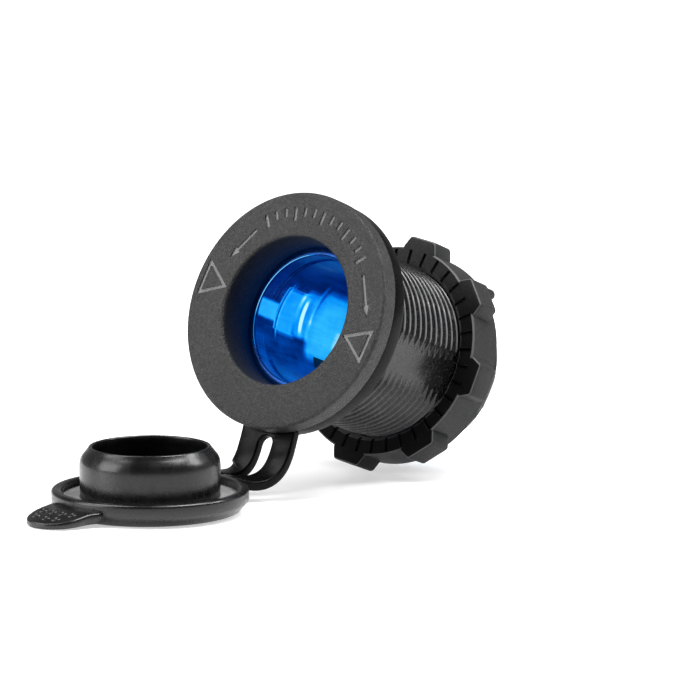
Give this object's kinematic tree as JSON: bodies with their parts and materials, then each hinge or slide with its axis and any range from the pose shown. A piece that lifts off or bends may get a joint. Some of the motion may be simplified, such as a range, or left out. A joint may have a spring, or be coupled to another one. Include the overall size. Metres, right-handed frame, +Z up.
{
  "type": "car 12v power socket",
  "caption": "Panel-mounted 12 V power socket with threaded barrel, ring nut, lit metal receptacle, blade terminals and a tethered rubber plug cap.",
  "frame": {"origin": "on the barrel's axis, in the plane of the tether ring's rear face, which seats on the front of the panel", "axes": "+Y along the barrel's axis from the mouth to the rear, +Z up toward the top of the flange, +X to the right seen from the front; the cap hangs below on -Z"},
  "size_m": [0.039, 0.0866, 0.0629],
  "materials": {
    "nylon": "fine-grained moulded nylon",
    "rubber": "soft satin rubber",
    "shell_metal": "drawn and plated",
    "fibre": "pressed fibre",
    "contact_brass": "turned",
    "plate_plastic": "moulded laminate",
    "blade_metal": "tinned",
    "fastener_steel": "zinc plated",
    "lens": "clear blue-lit epoxy",
    "resistor_body": "lacquered",
    "wire_metal": "tinned wire"
  },
  "bodies": {
    "socket": {"socket_body": "nylon", "tether_ring": "rubber", "contact_shell": "shell_metal", "contact_insulator": "fibre", "centre_contact": "contact_brass", "rear_plate": "plate_plastic", "positive_blade": "blade_metal", "negative_blade": "blade_metal", "negative_rivet": "fastener_steel", "spring_washer": "fastener_steel", "hex_nut": "fastener_steel", "lamp": "lens", "lamp_resistor": "resistor_body", "lamp_lead": "wire_metal"},
    "cap": {"cap": "rubber", "tether_strap": "rubber"},
    "ring_nut": {"ring_nut": "nylon"}
  },
  "joints": [
    {"name": "cap_fold", "type": "hinge", "parent": "socket", "child": "cap", "pos_m": [-0.0003, -0.00278, -0.02267], "axis": [-0.9933, 0.0661, 0.095], "range_deg": [-40, 110.66], "stiffness_Nm_per_rad": 0.01, "springref_deg": 2.69},
    {"name": "nut_travel", "type": "slide", "parent": "socket", "child": "ring_nut", "axis": [0, 1, 0], "range_m": [-0.0217, 0.0086]}
  ]
}
